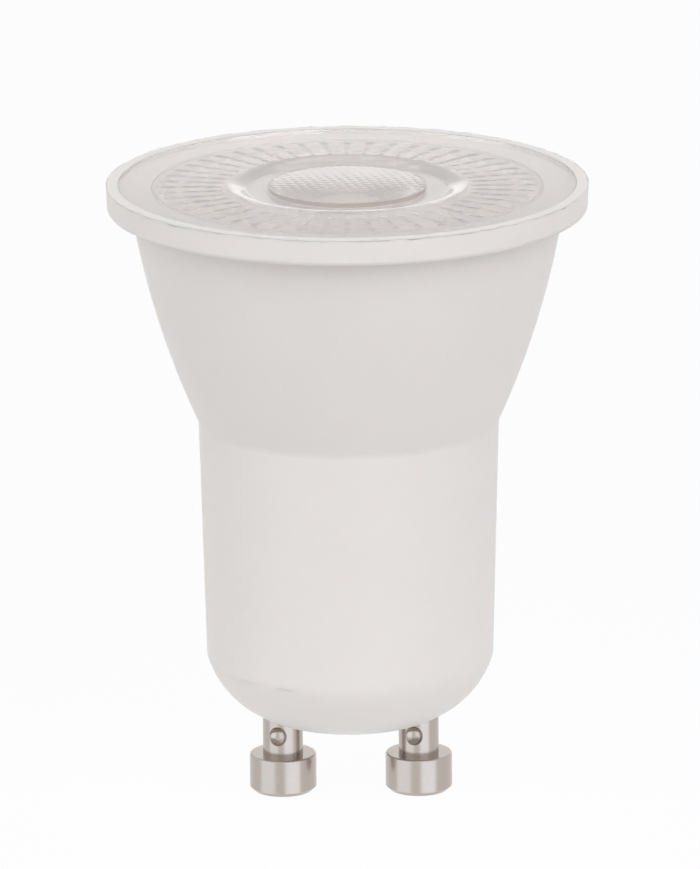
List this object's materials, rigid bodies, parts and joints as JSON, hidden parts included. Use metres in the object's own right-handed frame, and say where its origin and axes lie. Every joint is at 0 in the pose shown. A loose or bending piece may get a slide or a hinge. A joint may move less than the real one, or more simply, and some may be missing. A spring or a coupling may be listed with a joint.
{
  "type": "gu10 spotlight bulb",
  "caption": "White reflector-shaped spotlight bulb with a flanged bell, a faceted clear lens, a straight neck and a twist-lock pin base.",
  "frame": {"origin": "on the lamp's axis, level with the tips of the contact pins", "axes": "+Z along the lamp's axis from the pins to the lens; the two pins lie along X"},
  "size_m": [0.035, 0.035, 0.046],
  "materials": {
    "housing": "white moulded plastic, satin",
    "lens": "clear moulded plastic",
    "contact_pin_left": "nickel plated brass, turned",
    "contact_pin_right": "nickel plated brass, turned",
    "heat_sink_cup": "drawn aluminium",
    "thermal_pad": "grey silicone sheet",
    "led_board": "white solder mask on aluminium",
    "led_package": "white moulded package",
    "led_phosphor": "yellow silicone fill",
    "board_screws": "zinc plated steel",
    "led_solder_joints": "tin solder",
    "led_lead_positive": "red insulation",
    "led_lead_negative": "black insulation",
    "driver_board": "green glass-fibre laminate",
    "mains_lead_left": "tinned wire",
    "mains_lead_right": "tinned wire",
    "mains_solder_joints": "tin solder",
    "input_capacitor": "sleeved aluminium can",
    "output_capacitor": "sleeved aluminium can",
    "drum_inductor": "ferrite drum with its winding",
    "fuse_resistor": "coated ceramic rod with bent leads",
    "bridge_rectifier": "black moulded package",
    "driver_chip": "black moulded package",
    "output_diode": "black moulded package",
    "chip_resistors": "glazed ceramic chips"
  },
  "bodies": {
    "root": {"housing": "housing", "lens": "lens", "contact_pin_left": "contact_pin_left", "contact_pin_right": "contact_pin_right", "heat_sink_cup": "heat_sink_cup", "thermal_pad": "thermal_pad", "led_board": "led_board", "led_package": "led_package", "led_phosphor": "led_phosphor", "board_screws": "board_screws", "led_solder_joints": "led_solder_joints", "led_lead_positive": "led_lead_positive", "led_lead_negative": "led_lead_negative", "driver_board": "driver_board", "mains_lead_left": "mains_lead_left", "mains_lead_right": "mains_lead_right", "mains_solder_joints": "mains_solder_joints", "input_capacitor": "input_capacitor", "output_capacitor": "output_capacitor", "drum_inductor": "drum_inductor", "fuse_resistor": "fuse_resistor", "bridge_rectifier": "bridge_rectifier", "driver_chip": "driver_chip", "output_diode": "output_diode", "chip_resistors": "chip_resistors"}
  },
  "joints": []
}
